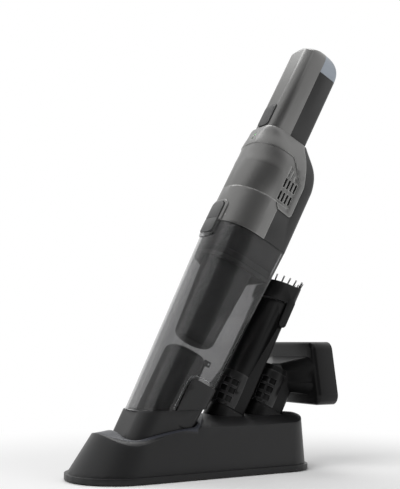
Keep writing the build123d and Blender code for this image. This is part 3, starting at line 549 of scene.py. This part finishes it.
strips = bmesh.new()
for part in looseParts(nodes["lint_strips"]):
    low = Vector([min(point[k] for point in part) for k in range(3)])
    high = Vector([max(point[k] for point in part) for k in range(3)])
    high.x -= nap["Length"] * 0.5
    corner = bmesh.ops.create_cube(strips, size=1.0)["verts"]
    for vertex in corner:
        vertex.co = Vector([low[k] + (vertex.co[k] + 0.5) * (high[k] - low[k]) for k in range(3)])
bmesh.ops.bevel(strips, geom=strips.edges[:], offset=napBacking["corner"], segments=2, profile=0.5,
                affect="EDGES")
stripMesh = bpy.data.meshes.new("lintBacking")
strips.to_mesh(stripMesh)
strips.free()
lintNap = grow("lintNap", stripMesh, buildNapTree(), nap)
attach(lintNap, "stand")
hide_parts("lint_strips")
print("lint nap:", len(lintNap.data.polygons), "faces")

# Clear rib moulded round the back plate on both sides of the cup, uneven as a gate mark leaves it
rib = {"Radius": 0.00060, "Ripple": 0.55, "Scale": 420.0, "Count": 90}
ribPath = [(0.0044, 0.0335), (0.0044, 0.0450), (0.0043, 0.0570), (0.0030, 0.0650), (-0.0020, 0.0688),
           (-0.0090, 0.0692), (-0.0165, 0.0692)]
cupSide = {"foot": 0.0285, "rim": 0.0345, "low": 0.010, "high": 0.2093, "proud": 0.0006}


def cupHalf(station):
    share = (station - cupSide["low"]) / (cupSide["high"] - cupSide["low"])
    return cupSide["foot"] + share * (cupSide["rim"] - cupSide["foot"])


def buildRibTree():
    tree, start, end = newTree("clearRib", rib)
    line = addNode(tree, "GeometryNodeMeshToCurve")
    even = addNode(tree, "GeometryNodeResampleCurve")
    tree.links.new(start.outputs["Geometry"], line.inputs["Mesh"])
    tree.links.new(line.outputs[0], even.inputs["Curve"])
    tree.links.new(start.outputs["Count"], even.inputs["Count"])
    ripple = addNode(tree, "ShaderNodeTexNoise")
    ripple.inputs["Detail"].default_value = 1.0
    tree.links.new(start.outputs["Scale"], ripple.inputs["Scale"])
    centred = combine(tree, "SUBTRACT", ripple.outputs["Fac"], 0.5)
    swing = combine(tree, "MULTIPLY", centred, start.outputs["Ripple"])
    width = combine(tree, "MULTIPLY", combine(tree, "ADD", swing, 0.5), 2.0)
    wide = addNode(tree, "GeometryNodeSetCurveRadius")
    tree.links.new(even.outputs[0], wide.inputs["Curve"])
    tree.links.new(width, wide.inputs["Radius"])
    profile = addNode(tree, "GeometryNodeCurvePrimitiveCircle")
    profile.inputs["Resolution"].default_value = 10
    tree.links.new(start.outputs["Radius"], profile.inputs["Radius"])
    swept = addNode(tree, "GeometryNodeCurveToMesh")
    swept.inputs["Fill Caps"].default_value = True
    tree.links.new(wide.outputs[0], swept.inputs["Curve"])
    tree.links.new(profile.outputs[0], swept.inputs["Profile Curve"])
    endTree(tree, swept.outputs[0], end, finishOf["clearRib"])
    return tree


ribMesh = bpy.data.meshes.new("ribLine")
ribPoints = [onVacuum(front, side * (cupHalf(station) + cupSide["proud"]), station)
             for side in (1, -1) for front, station in ribPath]
count = len(ribPath)
ribEdges = [(k + base, k + base + 1) for base in (0, count) for k in range(count - 1)]
ribMesh.from_pydata([tuple(point) for point in ribPoints], ribEdges, [])
clearRib = grow("clearRib", ribMesh, buildRibTree(), rib)
smoothFaces(clearRib.data)
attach(clearRib, "dust_cup")
print("clear rib:", len(clearRib.data.polygons), "faces")

# Floor: lit paper near the stand, plain white further out for what is seen
studio = {"floorTone": 0.93, "floorHalf": 6.0, "fadeFrom": 0.17, "fadeTo": 0.46, "soft": 0.36, "dark": 0.05,
          "gapFrom": 0.28, "gapTo": 0.88, "target": (0.0, 0.0, 0.2)}


def seenRays(tree):
    rays = addNode(tree, "ShaderNodeLightPath")
    clear = combine(tree, "MAXIMUM", rays.outputs["Is Camera Ray"], rays.outputs["Is Transmission Ray"])
    return clear, rays.outputs["Is Glossy Ray"]


floorPaper, tree, shader = startFinish("floorPaper")
shader.inputs["Base Color"].default_value = (studio["floorTone"],) * 3 + (1.0,)
shader.inputs["Roughness"].default_value = 0.95
shader.inputs["Specular IOR Level"].default_value = 0.0
coord = addNode(tree, "ShaderNodeTexCoord")
radius = addNode(tree, "ShaderNodeVectorMath", operation="LENGTH")
tree.links.new(coord.outputs["Object"], radius.inputs[0])
far = mapRange(tree, radius.outputs["Value"], studio["fadeFrom"], studio["fadeTo"], 0.0, 1.0, soft=True)
clear, glossy = seenRays(tree)
white = addNode(tree, "ShaderNodeEmission")
blend = addNode(tree, "ShaderNodeMixShader")
tree.links.new(combine(tree, "MULTIPLY", far, combine(tree, "MAXIMUM", clear, glossy)), blend.inputs["Fac"])
tree.links.new(shader.outputs[0], blend.inputs[1])
tree.links.new(white.outputs[0], blend.inputs[2])
tree.links.new(blend.outputs[0], tree.nodes["Material Output"].inputs["Surface"])
floorForm = bmesh.new()
bmesh.ops.create_grid(floorForm, x_segments=1, y_segments=1, size=studio["floorHalf"])
floorMesh = bpy.data.meshes.new("floor")
floorForm.to_mesh(floorMesh)
floorForm.free()
floor = bpy.data.objects.new("floor", floorMesh)
scene.collection.objects.link(floor)
floor.data.materials.append(floorPaper)
floor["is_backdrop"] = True

# World: white behind the object, falling to a dark gap on the side that the picture is taken from
shot = {"place": (-0.3981, -0.7470, 0.1170), "yaw": radians(28.5), "rise": radians(6.02), "lens": 68.02,
        "sensor": 36.0}
world = bpy.data.worlds.new("studio")
scene.world = world
world.use_nodes = True
tree = world.node_tree
tree.nodes.clear()
around = addNode(tree, "ShaderNodeTexCoord")
gap = addNode(tree, "ShaderNodeVectorMath", operation="DOT_PRODUCT")
gap.inputs[1].default_value = (-sin(shot["yaw"]), -cos(shot["yaw"]), 0.0)
tree.links.new(around.outputs["Generated"], gap.inputs[0])
mirrored = mapRange(tree, gap.outputs["Value"], studio["gapFrom"], studio["gapTo"], 1.0, studio["dark"],
                    soft=True)
clear, glossy = seenRays(tree)
level = addNode(tree, "ShaderNodeMix", data_type="FLOAT")
level.inputs[2].default_value = studio["soft"]
tree.links.new(glossy, level.inputs[0])
tree.links.new(mirrored, level.inputs[3])
shown = addNode(tree, "ShaderNodeMix", data_type="FLOAT")
shown.inputs[3].default_value = 1.0
tree.links.new(clear, shown.inputs[0])
tree.links.new(level.outputs[0], shown.inputs[2])
sky = addNode(tree, "ShaderNodeBackground")
sky.inputs["Color"].default_value = (1.0, 1.0, 1.0, 1.0)
skyOut = addNode(tree, "ShaderNodeOutputWorld")
tree.links.new(shown.outputs[0], sky.inputs["Strength"])
tree.links.new(sky.outputs[0], skyOut.inputs["Surface"])

# Lamps: a soft key from the left, a weak fill, and one behind that shiny faces mirror
lamps = {
    "keyLeft": dict(place=(-1.5, -0.5, 1.5), size=(1.6, 1.6), power=26.0, mirrored=False),
    "fillRight": dict(place=(1.1, -1.3, 0.7), size=(0.9, 1.4), power=6.0, mirrored=False),
    "topBack": dict(place=(0.3, 0.9, 1.8), size=(1.4, 0.8), power=12.0, mirrored=True),
}
for name, values in lamps.items():
    lamp = bpy.data.lights.new(name, "AREA")
    lamp.shape = "RECTANGLE"
    lamp.size, lamp.size_y = values["size"]
    lamp.energy = values["power"]
    light = bpy.data.objects.new(name, lamp)
    light.location = values["place"]
    aim = Vector(studio["target"]) - Vector(values["place"])
    light.rotation_euler = aim.to_track_quat("-Z", "Y").to_euler()
    light.visible_glossy = values["mirrored"]
    scene.collection.objects.link(light)

# Camera solved from the photograph: 400 by 489, long side on the sensor
cameraData = bpy.data.cameras.new("photo")
cameraData.sensor_width = shot["sensor"]
cameraData.lens = shot["lens"]
cameraData.clip_start = 0.01
camera = bpy.data.objects.new("photo", cameraData)
flat = cos(shot["rise"])
sight = Vector((sin(shot["yaw"]) * flat, cos(shot["yaw"]) * flat, sin(shot["rise"])))
camera.location = shot["place"]
camera.rotation_euler = sight.to_track_quat("-Z", "Y").to_euler()
scene.collection.objects.link(camera)
scene.camera = camera
print("camera and light set")

low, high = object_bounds()
